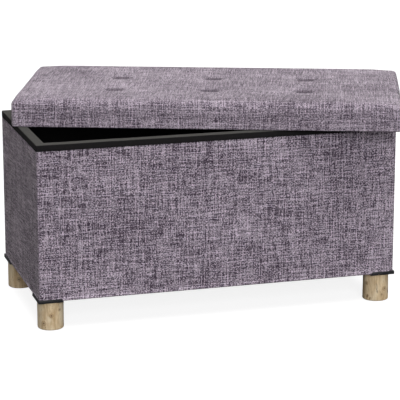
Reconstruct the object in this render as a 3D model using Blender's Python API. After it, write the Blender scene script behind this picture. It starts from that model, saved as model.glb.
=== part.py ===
"""Storage bench: an upholstered board box on four log feet, with a loose padded cap lid.

The lid lies on the rim, turned about the vertical, as it is left when the box has just been opened.
Metres, +Z up. The floor is z = 0, and the origin is under the middle of the lid.
"""

import math

import bmesh
import bpy
from mathutils import Vector

# ---- driving dimensions -------------------------------------------------------------------------

LID_LENGTH = 0.760
LID_WIDTH = 0.380
LID_SIDE = 0.052            # upright side of the lid, below the rounded top edge's height
LID_CROWN = 0.006           # how far the padding rises above the side
LID_EDGE = 0.008            # radius of the padded top edge
LID_CORNER = 0.010          # radius of the lid's upright corners
INNER_CORNER = 0.002        # smallest radius of what is nested in those corners
CROWN_REACH = 0.100         # the crown is full this far in from the lid's side
LID_TURN = math.radians(-20.25)
LID_OVERHANG = 0.018        # lid beyond the box on each side, when it is square on the box

BOX_LENGTH = LID_LENGTH - 2 * LID_OVERHANG
BOX_DEPTH = LID_WIDTH - 2 * LID_OVERHANG
BOX_HEIGHT = 0.310          # from the underside of the corner shoes to the rim
BOX_X = -0.0474             # middle of the box, from the middle of the lid
BOX_Y = -0.0520

WALL = 0.016                # thickness of the four wall boards
BASE = 0.012                # thickness of the base board
FABRIC = 0.0012             # woven cover
LINER = 0.0008              # non-woven lining inside and underneath
BINDING = 0.0014            # folded non-woven binding over the rim
BINDING_BAND = 0.013        # height of the binding outside, above the woven cover
BINDING_TUCK = 0.016        # height of the binding inside, over the lining
TURN_UNDER = 0.034          # woven cover turned in under the base
BOTTOM_MARGIN = 0.012       # the sheet underneath ends this far inside the box's outline
GAP = 0.0003                # between pieces that lie against each other
CHAMFER = 0.001             # on the ends of dowels and bolts, and round the top of a leg

LEG_HEIGHT = 0.0555
LEG_RADIUS = 0.0266
LEG_INSET = 0.0266          # middle of a leg, from the outer faces of the box
LEG_ROUND = 0.0025          # worn edge around the foot

SHOE_PLATE = 0.0015         # part of a corner shoe under the box
SHOE_LIP = 0.0020           # part of a corner shoe outside the woven cover
SHOE_HEIGHT = 0.0070
SHOE_FRONT = 0.050          # length along the front or back
SHOE_END = 0.062            # length along the end
SHOE_SLANT = 0.004          # how much shorter a shoe is at its top edge
SHOE_CUT = 0.6              # where a shoe's inner corner is cut off, as a share of its arms

DOWEL_RADIUS = 0.0040
DOWEL_LENGTH = 0.030
DOWEL_IN_FACE = 0.010       # depth of a dowel in the front or back board
DOWEL_HEIGHTS = (0.140, 0.290)

BOLT_RADIUS = 0.0040
BOLT_LENGTH = 0.038
BOLT_IN_LEG = 0.025
BOLT_ROOM = 0.001           # below a bolt's end, in its hole
INSERT_RADIUS = 0.0060
INSERT_SUNK = 0.0005        # an insert's ends, inside the base board's faces
SCREW_RADIUS = 0.0020
SCREW_HEAD = 0.0035
SCREW_LENGTH = 0.034
SCREW_POINT = 0.003         # length of a screw's tapered point
SCREW_TIP = 0.0004          # radius at the end of it
SCREW_FROM_END = 0.0085     # how far a screw stands from the end of its arm of the shoe
CLEARANCE = 0.0003          # around a bolt, screw, dowel or twine in its hole
LEG_SIDES = 24              # facets around a leg
BOLT_SIDES = 12             # facets around a bolt and its insert
PIN_SIDES = 8               # facets around a screw or a dowel
TUFT_SIDES = 12             # facets around a tuft's twine and washer

RAIL_WIDTH = 0.0135         # skirt rails under the lid's edge
RAIL_HEIGHT = 0.0100
LID_BOARD = 0.0090
TUFT_COLUMNS = (-0.25, 0.0, 0.25)     # of the lid's length
TUFT_ROWS = (-1 / 6, 1 / 6)           # of the lid's width
TWINE_RADIUS = 0.0012
CATCH_RADIUS = 0.0030       # knot that catches the back of the woven cover
CATCH_HEIGHT = 0.0018
WASHER_RADIUS = 0.0090
WASHER_HEIGHT = 0.0019

# ---- heights worked out from them ---------------------------------------------------------------

Z_SHOE = LEG_HEIGHT
Z_FABRIC = Z_SHOE + SHOE_PLATE + GAP
Z_BASE = Z_FABRIC + FABRIC + GAP
Z_WALL = Z_BASE + BASE + GAP
Z_RIM = Z_SHOE + BOX_HEIGHT
Z_WALL_TOP = Z_RIM - BINDING - GAP
Z_LID = Z_RIM + GAP

SKIN = FABRIC + GAP         # from the outside of the woven cover to what it covers
LID_BOARD_LOW = SKIN + RAIL_HEIGHT + GAP
FOAM_LOW = LID_BOARD_LOW + LID_BOARD + GAP

CORNERS = (("front_left", -1, -1), ("front_right", 1, -1), ("back_left", -1, 1), ("back_right", 1, 1))

COLOURS = {
    "weave": (0.185, 0.155, 0.190),
    "lining": (0.012, 0.012, 0.013),
    "binding": (0.075, 0.075, 0.070),
    "board": (0.42, 0.30, 0.18),
    "plastic": (0.018, 0.018, 0.020),
    "log": (0.62, 0.47, 0.29),
    "steel": (0.55, 0.55, 0.56),
    "foam": (0.78, 0.74, 0.62),
    "twine": (0.10, 0.09, 0.10),
}


# ---- helpers ------------------------------------------------------------------------------------

def material(name, kind, roughness, metallic=0.0):
    """A plain finish in one of the bench's colours."""
    finish = bpy.data.materials.new(name)
    finish.use_nodes = True
    shader = finish.node_tree.nodes["Principled BSDF"]
    shader.inputs["Base Color"].default_value = (*COLOURS[kind], 1.0)
    shader.inputs["Roughness"].default_value = roughness
    shader.inputs["Metallic"].default_value = metallic
    return finish


def frame(name, location, turn=0.0):
    """An empty that a group of pieces is parented to."""
    empty = bpy.data.objects.new(name, None)
    empty.location = location
    empty.rotation_euler = (0.0, 0.0, turn)
    bpy.context.scene.collection.objects.link(empty)
    return empty


def piece(name, mesh, parent, finish=None, location=(0.0, 0.0, 0.0)):
    """One named object, in its parent's frame."""
    made = bpy.data.objects.new(name, mesh)
    made.location = location
    made.parent = parent
    bpy.context.scene.collection.objects.link(made)
    if finish is not None:
        mesh.materials.clear()
        mesh.materials.append(finish)
    return made


def lofted(name, rings, closed=False, smooth=False):
    """A closed body through rings of equal length, capped at both ends or joined end to end."""
    mesh_edit = bmesh.new()
    loops = [[mesh_edit.verts.new(point) for point in ring] for ring in rings]
    pairs = list(zip(loops, loops[1:]))
    if closed:
        pairs.append((loops[-1], loops[0]))
    count = len(loops[0])
    for low, high in pairs:
        for i in range(count):
            j = (i + 1) % count
            mesh_edit.faces.new((low[i], low[j], high[j], high[i]))
    if not closed:
        mesh_edit.faces.new(loops[0])
        mesh_edit.faces.new(loops[-1])
    bmesh.ops.recalc_face_normals(mesh_edit, faces=mesh_edit.faces)
    mesh = bpy.data.meshes.new(name)
    mesh_edit.to_mesh(mesh)
    mesh_edit.free()
    if smooth:
        mesh.shade_smooth()
        mesh.set_sharp_from_angle(angle=math.radians(35))
    return mesh


def block(name, low, high):
    """A plain board between two corners."""
    xs, ys = (low[0], high[0]), (low[1], high[1])
    outline = ((xs[0], ys[0]), (xs[1], ys[0]), (xs[1], ys[1]), (xs[0], ys[1]))
    return lofted(name, [[(x, y, z) for x, y in outline] for z in (low[2], high[2])])


def rectangle(length, width, inset, z, radius=0.0, steps=3):
    """An upright box's outline at one height, pulled in by an inset, with round or sharp corners."""
    half_x, half_y = length / 2 - inset, width / 2 - inset
    if radius <= 0.0:
        return [(-half_x, -half_y, z), (half_x, -half_y, z), (half_x, half_y, z), (-half_x, half_y, z)]
    points = []
    for quarter, (sx, sy) in enumerate(((1, 1), (-1, 1), (-1, -1), (1, -1))):
        for step in range(steps + 1):
            angle = math.pi / 2 * (quarter + step / steps)
            x = sx * (half_x - radius) + radius * math.cos(angle)
            y = sy * (half_y - radius) + radius * math.sin(angle)
            points.append((x, y, z))
    return points


def turned(name, profile, segments=BOLT_SIDES, closed=False, along="Z", centre=(0.0, 0.0, 0.0)):
    """A round body through (radius, height) points, about an axis through its centre."""
    rings = []
    for radius, height in profile:
        ring = []
        for step in range(segments):
            angle = 2 * math.pi * step / segments
            a, b = radius * math.cos(angle), radius * math.sin(angle)
            offset = (a, b, height) if along == "Z" else (a, height, b)
            ring.append(Vector(centre) + Vector(offset))
        rings.append(ring)
    return lofted(name, rings, closed=closed, smooth=True)


def joined(name, meshes, parent):
    """A cutter made of several separate closed shapes."""
    mesh_edit = bmesh.new()
    for mesh in meshes:
        mesh_edit.from_mesh(mesh)
        bpy.data.meshes.remove(mesh)
    result = bpy.data.meshes.new(name)
    mesh_edit.to_mesh(result)
    mesh_edit.free()
    cutter = piece(name, result, parent)
    cutter.hide_render = True
    cutter.display_type = "WIRE"
    return cutter


def cut(target, cutter):
    """Leave the cutter's shape out of a piece."""
    modifier = target.modifiers.new("cut_" + cutter.name, "BOOLEAN")
    modifier.operation = "DIFFERENCE"
    modifier.solver = "EXACT"
    modifier.object = cutter


# ---- the box's boards and what joins them -------------------------------------------------------

def shoe_screw_places():
    """Where the two screws of each corner shoe stand, each under the middle of a wall board."""
    under_wall = SKIN + WALL / 2
    places = []
    for corner, sx, sy in CORNERS:
        long_x = SHOE_FRONT - SHOE_LIP - SCREW_FROM_END
        long_y = SHOE_END - SHOE_LIP - SCREW_FROM_END
        for arm, from_x, from_y in (("a", long_x, under_wall), ("b", under_wall, long_y)):
            x = sx * (BOX_LENGTH / 2 - from_x)
            y = sy * (BOX_DEPTH / 2 - from_y)
            places.append((corner + "_" + arm, x, y))
    return places


def dowel_places():
    """Middle of each dowel, across the joints between the long and the short wall boards."""
    face = BOX_DEPTH / 2 - SKIN - WALL
    middle = face + DOWEL_IN_FACE - DOWEL_LENGTH / 2
    x = BOX_LENGTH / 2 - SKIN - WALL / 2
    return [(sx * x, sy * middle, z) for corner, sx, sy in CORNERS for z in DOWEL_HEIGHTS]


def dowel_mesh(name, centre, spare):
    """A dowel with chamfered ends, or the hole for one."""
    radius, half = DOWEL_RADIUS + spare, DOWEL_LENGTH / 2 + spare
    profile = ((radius - CHAMFER, -half), (radius, CHAMFER - half), (radius, half - CHAMFER),
               (radius - CHAMFER, half))
    return turned(name, profile, segments=PIN_SIDES, along="Y", centre=centre)


def screw_profile(spare):
    """A countersunk screw up into a wall board, or the hole for one."""
    low, tip = Z_SHOE, Z_SHOE + SCREW_LENGTH
    neck = low + SHOE_PLATE
    return ((SCREW_HEAD + spare, low), (SCREW_RADIUS + spare, neck),
            (SCREW_RADIUS + spare, tip - SCREW_POINT), (SCREW_TIP + spare, tip + spare))


def make_dowels(parent):
    """Eight dowels, and the holes that they need."""
    finish = material("beech_dowel", "board", 0.6)
    holes = []
    for number, centre in enumerate(dowel_places(), start=1):
        name = f"corner_dowel_{number}"
        piece(name, dowel_mesh(name, (0, 0, 0), 0.0), parent, finish, centre)
        holes.append(dowel_mesh("hole", centre, CLEARANCE))
    return joined("dowel_holes", holes, parent)


def make_walls(parent, dowel_holes, screw_holes):
    """Four wall boards: the long ones run the full length, and the short ones stand between."""
    finish = material("wall_board", "board", 0.75)
    half_x, half_y = BOX_LENGTH / 2 - SKIN, BOX_DEPTH / 2 - SKIN
    between = half_y - WALL - GAP
    boards = (
        ("front_board", (-half_x, -half_y), (half_x, -half_y + WALL)),
        ("back_board", (-half_x, half_y - WALL), (half_x, half_y)),
        ("left_board", (-half_x, -between), (-half_x + WALL, between)),
        ("right_board", (half_x - WALL, -between), (half_x, between)),
    )
    for name, low, high in boards:
        mesh = block(name, (*low, Z_WALL), (*high, Z_WALL_TOP))
        board = piece(name, mesh, parent, finish)
        cut(board, dowel_holes)
        cut(board, screw_holes)


def make_base(parent, bolt_holes, screw_holes):
    """The base board, which the walls stand on and the legs screw into."""
    half_x, half_y = BOX_LENGTH / 2 - SKIN, BOX_DEPTH / 2 - SKIN
    mesh = block("base_board", (-half_x, -half_y, Z_BASE), (half_x, half_y, Z_BASE + BASE))
    board = piece("base_board", mesh, parent, material("base_board", "board", 0.75))
    cut(board, bolt_holes)
    cut(board, screw_holes)


# ---- the box's cloth ----------------------------------------------------------------------------

def box_ring(inset, z):
    """The box's outline at one height, pulled in by an inset."""
    return rectangle(BOX_LENGTH, BOX_DEPTH, inset, z)


def make_outer_fabric(parent, flange_holes, screw_holes):
    """The woven cover around the four walls, turned in under the base."""
    top = Z_RIM - BINDING_BAND
    inner = Z_FABRIC + FABRIC
    rings = [box_ring(0.0, top), box_ring(0.0, Z_FABRIC), box_ring(TURN_UNDER, Z_FABRIC),
             box_ring(TURN_UNDER, inner), box_ring(FABRIC, inner), box_ring(FABRIC, top)]
    mesh = lofted("outer_fabric", rings, closed=True)
    cover = piece("outer_fabric", mesh, parent, material("woven_cover", "weave", 0.95))
    cut(cover, flange_holes)
    cut(cover, screw_holes)


def make_inner_liner(parent):
    """The lining: an open tray of non-woven cloth against the walls and on the base."""
    outside = SKIN + WALL + GAP
    inside = outside + LINER
    low = Z_BASE + BASE + GAP
    top = Z_RIM - BINDING_TUCK - GAP
    rings = [box_ring(outside, low), box_ring(outside, top), box_ring(inside, top),
             box_ring(inside, low + LINER)]
    mesh = lofted("inner_liner", rings)
    piece("inner_liner", mesh, parent, material("inner_lining", "lining", 0.95))


def make_binding(parent):
    """Four mitred strips of binding, each an upside-down channel over the top of a wall."""
    finish = material("rim_binding", "binding", 0.9)
    outside = SKIN - GAP - BINDING
    inside = SKIN + WALL + GAP
    outline = ((outside, Z_RIM - BINDING_BAND + GAP), (outside, Z_RIM), (inside + BINDING, Z_RIM),
               (inside + BINDING, Z_RIM - BINDING_TUCK), (inside, Z_RIM - BINDING_TUCK),
               (inside, Z_RIM - BINDING), (outside + BINDING, Z_RIM - BINDING),
               (outside + BINDING, Z_RIM - BINDING_BAND + GAP))
    sides = (("front", BOX_LENGTH, BOX_DEPTH, 0), ("right", BOX_DEPTH, BOX_LENGTH, 1),
             ("back", BOX_LENGTH, BOX_DEPTH, 2), ("left", BOX_DEPTH, BOX_LENGTH, 3))
    for side, length, across, quarter in sides:
        rings = []
        for sign in (-1, 1):
            ring = [(sign * (length / 2 - inset - GAP), inset - across / 2, z) for inset, z in outline]
            rings.append(ring)
        name = "rim_binding_" + side
        strip = piece(name, lofted(name, rings), parent, finish)
        strip.rotation_euler = (0.0, 0.0, quarter * math.pi / 2)


def make_bottom_lining(parent):
    """Non-woven sheet over the turned-in edges underneath, notched around the corner shoes."""
    half_x, half_y = BOX_LENGTH / 2 - BOTTOM_MARGIN, BOX_DEPTH / 2 - BOTTOM_MARGIN
    notch_x = BOX_LENGTH / 2 - SHOE_FRONT - GAP
    notch_y = BOX_DEPTH / 2 - SHOE_END - GAP
    quarter = ((half_x, notch_y), (notch_x, notch_y), (notch_x, half_y))
    outline = list(quarter)
    outline += [(-x, y) for x, y in reversed(quarter)]
    outline += [(-x, -y) for x, y in quarter]
    outline += [(x, -y) for x, y in reversed(quarter)]
    high = Z_FABRIC - GAP
    rings = [[(x, y, z) for x, y in outline] for z in (high - LINER, high)]
    mesh = lofted("bottom_lining", rings)
    piece("bottom_lining", mesh, parent, material("bottom_lining", "lining", 0.95))


# ---- feet ---------------------------------------------------------------------------------------

def shoe_mesh(name, sx, sy):
    """The outside of a corner shoe, before its pocket for the box's corner is cut."""
    rings = []
    for z, shorter in ((Z_SHOE, 0.0), (Z_SHOE + SHOE_HEIGHT, SHOE_SLANT)):
        reach_x, reach_y = SHOE_FRONT - shorter, SHOE_END - shorter
        outline = ((0.0, 0.0), (reach_x, 0.0), (reach_x, SHOE_CUT * reach_y),
                   (SHOE_CUT * reach_x, reach_y), (0.0, reach_y))
        ring = []
        for along_x, along_y in outline:
            x = sx * (BOX_LENGTH / 2 + SHOE_LIP - along_x)
            y = sy * (BOX_DEPTH / 2 + SHOE_LIP - along_y)
            ring.append((x, y, z))
        rings.append(ring)
    return lofted(name, rings)


def shoe_pocket(parent):
    """The box's lower end, with clearance, which the shoes stand around."""
    low = rectangle(BOX_LENGTH, BOX_DEPTH, -GAP, Z_SHOE + SHOE_PLATE)
    high = rectangle(BOX_LENGTH, BOX_DEPTH, -GAP, Z_SHOE + 2 * SHOE_HEIGHT)
    return joined("shoe_pocket", [lofted("pocket", [low, high])], parent)


def make_shoes(parent, screw_holes, flange_holes):
    """Four moulded corner shoes: a plate under the box with a lip up its two sides."""
    finish = material("shoe_plastic", "plastic", 0.45)
    pocket = shoe_pocket(parent)
    for corner, sx, sy in CORNERS:
        name = "corner_shoe_" + corner
        shoe = piece(name, shoe_mesh(name, sx, sy), parent, finish)
        for cutter in (pocket, screw_holes, flange_holes):
            cut(shoe, cutter)


def make_screws(parent):
    """Two screws for each shoe, and the holes that they need."""
    finish = material("screw_steel", "steel", 0.35, 1.0)
    holes = []
    for place, x, y in shoe_screw_places():
        name = "shoe_screw_" + place
        piece(name, turned(name, screw_profile(0.0), PIN_SIDES), parent, finish, (x, y, 0.0))
        drilled = list(screw_profile(CLEARANCE))
        drilled.insert(0, (drilled[0][0], Z_SHOE - SHOE_PLATE))
        holes.append(turned("hole", drilled, PIN_SIDES, centre=(x, y, 0.0)))
    return joined("screw_holes", holes, parent)


def leg_places():
    """The axis of each leg."""
    x, y = BOX_LENGTH / 2 - LEG_INSET, BOX_DEPTH / 2 - LEG_INSET
    return [(corner, sx * x, sy * y) for corner, sx, sy in CORNERS]


def leg_mesh(name):
    """A short round log with a worn foot and a hole for its bolt in the top."""
    top = Z_SHOE - GAP
    hole = BOLT_RADIUS + CLEARANCE
    profile = [(LEG_RADIUS - LEG_ROUND, 0.0)]
    for degrees in (30, 60, 90):
        angle = math.radians(degrees)
        profile.append((LEG_RADIUS - LEG_ROUND * (1 - math.sin(angle)), LEG_ROUND * (1 - math.cos(angle))))
    profile += [(LEG_RADIUS, top - CHAMFER), (LEG_RADIUS - CHAMFER, top), (hole, top),
                (hole, top - BOLT_IN_LEG - BOLT_ROOM)]
    return turned(name, profile, LEG_SIDES)


def make_legs(parent):
    """Each leg with its hanger bolt and the threaded insert above it in the base board."""
    log_finish = material("log", "log", 0.7)
    bolt_finish = material("bolt_steel", "steel", 0.35, 1.0)
    insert_finish = material("insert_steel", "steel", 0.3, 1.0)
    low, high = Z_SHOE - BOLT_IN_LEG, Z_SHOE - BOLT_IN_LEG + BOLT_LENGTH
    bolt = ((BOLT_RADIUS - CHAMFER, low), (BOLT_RADIUS, low + CHAMFER), (BOLT_RADIUS, high - CHAMFER),
            (BOLT_RADIUS - CHAMFER, high))
    bore = BOLT_RADIUS + CLEARANCE
    foot, head = Z_BASE + INSERT_SUNK, Z_BASE + BASE - INSERT_SUNK
    insert = ((bore, foot), (INSERT_RADIUS, foot), (INSERT_RADIUS, head), (bore, head))
    wide, narrow = [], []
    for corner, x, y in leg_places():
        place = (x, y, 0.0)
        piece("leg_" + corner, leg_mesh("leg_" + corner), parent, log_finish, place)
        piece("leg_bolt_" + corner, turned("leg_bolt_" + corner, bolt), parent, bolt_finish, place)
        name = "leg_insert_" + corner
        piece(name, turned(name, insert, closed=True), parent, insert_finish, place)
        drilled = ((INSERT_RADIUS + CLEARANCE, Z_BASE - BASE), (INSERT_RADIUS + CLEARANCE, Z_BASE + 2 * BASE))
        wide.append(turned("hole", drilled, centre=place))
        passed = ((bore, Z_SHOE - SHOE_HEIGHT), (bore, Z_BASE))
        narrow.append(turned("hole", passed, centre=place))
    return joined("insert_holes", wide, parent), joined("bolt_holes", narrow, parent)


# ---- the lid, in its own turned frame; heights from its underside -------------------------------

def lid_ring(inset, z):
    """The lid's outline at one height, with its round upright corners."""
    return rectangle(LID_LENGTH, LID_WIDTH, inset, z, radius=max(LID_CORNER - inset, INNER_CORNER))


def padded_top(inset):
    """Rings over the padded edge and up the crown, for the woven cover or for what is under it."""
    rings = []
    centre = LID_SIDE - LID_EDGE
    radius = LID_EDGE - inset
    for degrees in (0, 30, 60, 90):
        angle = math.radians(degrees)
        rings.append((LID_EDGE - radius * math.cos(angle), centre + radius * math.sin(angle)))
    for share in (0.3, 0.6, 1.0):
        reach = CROWN_REACH * share
        rise = LID_CROWN * math.sin(math.pi / 2 * (reach - LID_EDGE) / (CROWN_REACH - LID_EDGE))
        rings.append((reach, LID_SIDE - inset + rise))
    return rings


def make_lid_cover(parent):
    """The lid's woven cover: over the padding, down the side, and round the skirt to its inside."""
    inside = SKIN + RAIL_WIDTH + GAP
    end = SKIN + RAIL_HEIGHT - GAP - LINER - GAP
    outer = padded_top(0.0)[::-1] + [(0.0, 0.0), (inside + FABRIC, 0.0), (inside + FABRIC, end)]
    inner = [(inside, end), (inside, FABRIC), (FABRIC, FABRIC)] + padded_top(FABRIC)
    rings = [lid_ring(inset, z) for inset, z in outer + inner]
    mesh = lofted("lid_cover", rings, smooth=True)
    piece("lid_cover", mesh, parent, material("lid_woven_cover", "weave", 0.95))


def tuft_places():
    """Where the six blind tufts pull the cover down."""
    return [(LID_LENGTH * column, LID_WIDTH * row) for row in TUFT_ROWS for column in TUFT_COLUMNS]


def tuft_profile(spare):
    """A tuft's twine from its washer to its catch, or the hole for it."""
    low = LID_BOARD_LOW
    top = LID_SIDE + LID_CROWN - SKIN
    washer = low + WASHER_HEIGHT + spare
    catch = top - CATCH_HEIGHT - spare
    return [(WASHER_RADIUS + spare, low), (WASHER_RADIUS + spare, washer), (TWINE_RADIUS + spare, washer),
            (TWINE_RADIUS + spare, catch), (CATCH_RADIUS + spare, catch), (CATCH_RADIUS + spare, top)]


def make_tufts(parent):
    """Six tufts, and the stepped holes through padding and board that they need."""
    finish = material("tuft_twine", "twine", 0.8)
    beyond = 0.005
    holes = []
    for number, (x, y) in enumerate(tuft_places(), start=1):
        name = f"lid_tuft_{number}"
        piece(name, turned(name, tuft_profile(0.0), TUFT_SIDES), parent, finish, (x, y, 0.0))
        drilled = tuft_profile(CLEARANCE)
        drilled[0] = (drilled[0][0], LID_BOARD_LOW - beyond)
        drilled[-1] = (drilled[-1][0], drilled[-1][1] + beyond)
        holes.append(turned("hole", drilled, TUFT_SIDES, centre=(x, y, 0.0)))
    return joined("tuft_holes", holes, parent)


def make_lid_board(parent, tuft_holes):
    """The lid's board, over its four skirt rails."""
    finish = material("lid_board", "board", 0.75)
    half_x, half_y = LID_LENGTH / 2 - SKIN, LID_WIDTH / 2 - SKIN
    low = rectangle(LID_LENGTH, LID_WIDTH, SKIN, LID_BOARD_LOW, radius=LID_CORNER - SKIN)
    high = [(x, y, LID_BOARD_LOW + LID_BOARD) for x, y, z in low]
    board = piece("lid_board", lofted("lid_board", [low, high]), parent, finish)
    cut(board, tuft_holes)
    notch = LID_CORNER - SKIN
    side_end = half_y - RAIL_WIDTH - GAP
    top = LID_BOARD_LOW - GAP
    rails = (
        ("front", (notch - half_x, -half_y), (half_x - notch, RAIL_WIDTH - half_y)),
        ("back", (notch - half_x, half_y - RAIL_WIDTH), (half_x - notch, half_y)),
        ("left", (-half_x, -side_end), (RAIL_WIDTH - half_x, side_end)),
        ("right", (half_x - RAIL_WIDTH, -side_end), (half_x, side_end)),
    )
    for side, first, last in rails:
        name = "lid_rail_" + side
        piece(name, block(name, (*first, SKIN), (*last, top)), parent, finish)


def make_lid_foam(parent, tuft_holes):
    """The pad between the board and the woven cover."""
    outline = [(SKIN, FOAM_LOW)] + padded_top(SKIN)
    rings = [lid_ring(inset, z) for inset, z in outline]
    foam = piece("lid_foam", lofted("lid_foam", rings, smooth=True), parent,
                 material("foam", "foam", 0.95))
    cut(foam, tuft_holes)


def make_lid_lining(parent):
    """Non-woven sheet under the board, inside the skirt."""
    inset = SKIN + RAIL_WIDTH + GAP
    high = LID_BOARD_LOW - GAP
    rings = [rectangle(LID_LENGTH, LID_WIDTH, inset, z) for z in (high - LINER, high)]
    mesh = lofted("lid_lining", rings)
    piece("lid_lining", mesh, parent, material("lid_lining", "lining", 0.95))


# ---- the whole bench ----------------------------------------------------------------------------

def make_box():
    """Everything below the lid, in the box's own frame."""
    parent = frame("box_frame", (BOX_X, BOX_Y, 0.0))
    dowel_holes = make_dowels(parent)
    screw_holes = make_screws(parent)
    insert_holes, bolt_holes = make_legs(parent)
    make_walls(parent, dowel_holes, screw_holes)
    make_base(parent, insert_holes, screw_holes)
    make_outer_fabric(parent, bolt_holes, screw_holes)
    make_inner_liner(parent)
    make_binding(parent)
    make_bottom_lining(parent)
    make_shoes(parent, screw_holes, bolt_holes)


def make_lid():
    """The lid, turned about the vertical through its own middle, and lying on the rim."""
    parent = frame("lid_frame", (0.0, 0.0, Z_LID), LID_TURN)
    tuft_holes = make_tufts(parent)
    make_lid_cover(parent)
    make_lid_foam(parent, tuft_holes)
    make_lid_board(parent, tuft_holes)
    make_lid_lining(parent)


def main():
    """Clear the scene and build the bench."""
    for old in list(bpy.data.objects):
        bpy.data.objects.remove(old, do_unlink=True)
    make_box()
    make_lid()


main()
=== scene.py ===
"""Looks of the storage bench: cloth, binding, lining, shoes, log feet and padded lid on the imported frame."""

import math

import bmesh
import bpy
import numpy as np
from mathutils import Matrix, Vector, noise


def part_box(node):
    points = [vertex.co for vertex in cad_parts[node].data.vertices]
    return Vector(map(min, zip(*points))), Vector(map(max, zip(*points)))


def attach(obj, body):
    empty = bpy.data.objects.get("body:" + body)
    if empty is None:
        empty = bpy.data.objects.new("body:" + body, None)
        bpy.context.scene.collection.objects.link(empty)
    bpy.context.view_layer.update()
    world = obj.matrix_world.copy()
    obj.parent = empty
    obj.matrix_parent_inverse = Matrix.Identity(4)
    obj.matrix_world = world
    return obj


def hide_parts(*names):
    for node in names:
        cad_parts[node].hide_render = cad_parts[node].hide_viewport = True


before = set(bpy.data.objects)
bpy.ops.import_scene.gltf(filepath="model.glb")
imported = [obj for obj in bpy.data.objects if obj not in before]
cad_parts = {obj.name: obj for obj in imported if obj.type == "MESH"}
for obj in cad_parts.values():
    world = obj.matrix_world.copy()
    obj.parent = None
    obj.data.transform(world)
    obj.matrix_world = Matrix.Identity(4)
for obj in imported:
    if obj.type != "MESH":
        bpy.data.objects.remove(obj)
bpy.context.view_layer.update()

# ---- facts read from the frame ----

BOX_LOW, BOX_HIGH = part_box("outer_fabric")
BOX_SIZE = BOX_HIGH - BOX_LOW
BOX_CENTRE = (BOX_LOW + BOX_HIGH) / 2
BOX_AXIS = np.array((BOX_CENTRE.x, BOX_CENTRE.y, 0.0))
RIM_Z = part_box("rim_binding_front")[1].z


def middle(node):
    """The middle of a CAD node's box."""
    low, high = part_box(node)
    return (low + high) / 2


# The tufts stand at a quarter, a half and three quarters of the lid's length, and at a third and two thirds
# of its width, so they give the lid's size and turn.
LID_ALONG = middle("lid_tuft_3") - middle("lid_tuft_1")
LID_ACROSS = middle("lid_tuft_4") - middle("lid_tuft_1")
LID_LENGTH = 2 * LID_ALONG.length
LID_WIDTH = 3 * LID_ACROSS.length
LID_TURN = math.atan2(LID_ALONG.y, LID_ALONG.x)
LID_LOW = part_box("lid_cover")[0]
LID_CENTRE = (middle("lid_tuft_2") + middle("lid_tuft_5")) / 2
LID_PLACE = Matrix.Translation((LID_CENTRE.x, LID_CENTRE.y, LID_LOW.z)) @ Matrix.Rotation(LID_TURN, 4, "Z")
LID_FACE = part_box("lid_lining")[0].z - LID_LOW.z      # the lining's underside, above the skirt's
TUFTS = range(1, 7)

# ---- sizes of the detail that the frame doesn't hold, in metres ----

CLOTH = 0.0011          # thickness of the woven cloth
THREAD = 0.00120        # pitch of the weave
BOX_CORNER = 0.0035     # radius of the cloth round an upright corner of the box
LID_SIDE = 0.0525       # upright side of the lid
LID_CORNER = 0.009      # radius of its padded edges and corners
SKIRT = 0.0165          # width of the skirt under the lid's edge
CROWN = 0.0015          # how much higher the pad is cut in the middle than at its edges
EDGE_BOW = 0.0022       # how far the top edges swell up between the corners
PUFF = 0.0025           # how far the padding swells between the tufts
SIDE_PUFF = 0.0018      # how far it swells at the side
FIRM = 0.0135           # how far above the lining the board holds the side still
PRESSURE = 1.2          # how hard the pad pushes its cover out
FOAM_HOLD = 0.08        # how firmly the pad keeps its cut shape under the cover
DIMPLE = 0.0052         # how deep a tuft draws the pad down around it
DIMPLE_REACH = 0.042    # how far from the tuft that has faded to about a third
CREASE = 0.020          # length of the crease across a tuft
SLIT = 0.0028           # how much deeper the crease is
SLIT_REACH = 0.0070     # half the crease's width
# the shade on a crease's far side is painted into the lid's cloth
FOLD_SIDE = 0.0036      # how far behind its tuft the shaded side of a crease lies
PUCKER = 0.0006         # height of the puckers along a crease
PUCKER_PITCH = 0.0085   # from one pucker to the next
TINY = 1e-9             # a length that counts as none


# ---- mesh helpers ----

def new_object(name, points, faces):
    """A smooth-shaded object from a list of points and a list of faces."""
    mesh = bpy.data.meshes.new(name)
    mesh.from_pydata([tuple(p) for p in points], [], [tuple(f) for f in faces])
    mesh.update()
    mesh.shade_smooth()
    made = bpy.data.objects.new(name, mesh)
    bpy.context.scene.collection.objects.link(made)
    return made


def edit_mesh(obj, change):
    """Change an object's mesh by a function that works on it as a bmesh."""
    edit = bmesh.new()
    edit.from_mesh(obj.data)
    change(edit)
    edit.to_mesh(obj.data)
    edit.free()


def face_out(obj, sharp=180):
    """Turn a closed piece's faces outward; edges sharper than an angle are shaded sharp."""
    edit_mesh(obj, lambda edit: bmesh.ops.recalc_face_normals(edit, faces=edit.faces))
    obj.data.shade_smooth()
    obj.data.set_sharp_from_angle(angle=math.radians(sharp))


def flip_inward(edit):
    """Flip a closed mesh whose faces look inward."""
    if edit.calc_volume(signed=True) < 0:
        bmesh.ops.reverse_faces(edit, faces=edit.faces)


def close_open_edge(edit):
    """Fill a skin's one open edge with a flat face, and turn the closed mesh outward."""
    bmesh.ops.holes_fill(edit, edges=[e for e in edit.edges if e.is_boundary], sides=0)
    flip_inward(edit)


def join_doubles(edit):
    """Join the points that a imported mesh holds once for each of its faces."""
    bmesh.ops.remove_doubles(edit, verts=edit.verts, dist=1e-6)


def copy_node(name, new_name):
    """A new piece with the mesh of a CAD node, its points joined."""
    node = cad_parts[name]
    piece = node.copy()
    piece.data = node.data.copy()
    piece.name = new_name
    bpy.context.scene.collection.objects.link(piece)
    edit_mesh(piece, join_doubles)
    return piece


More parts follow.
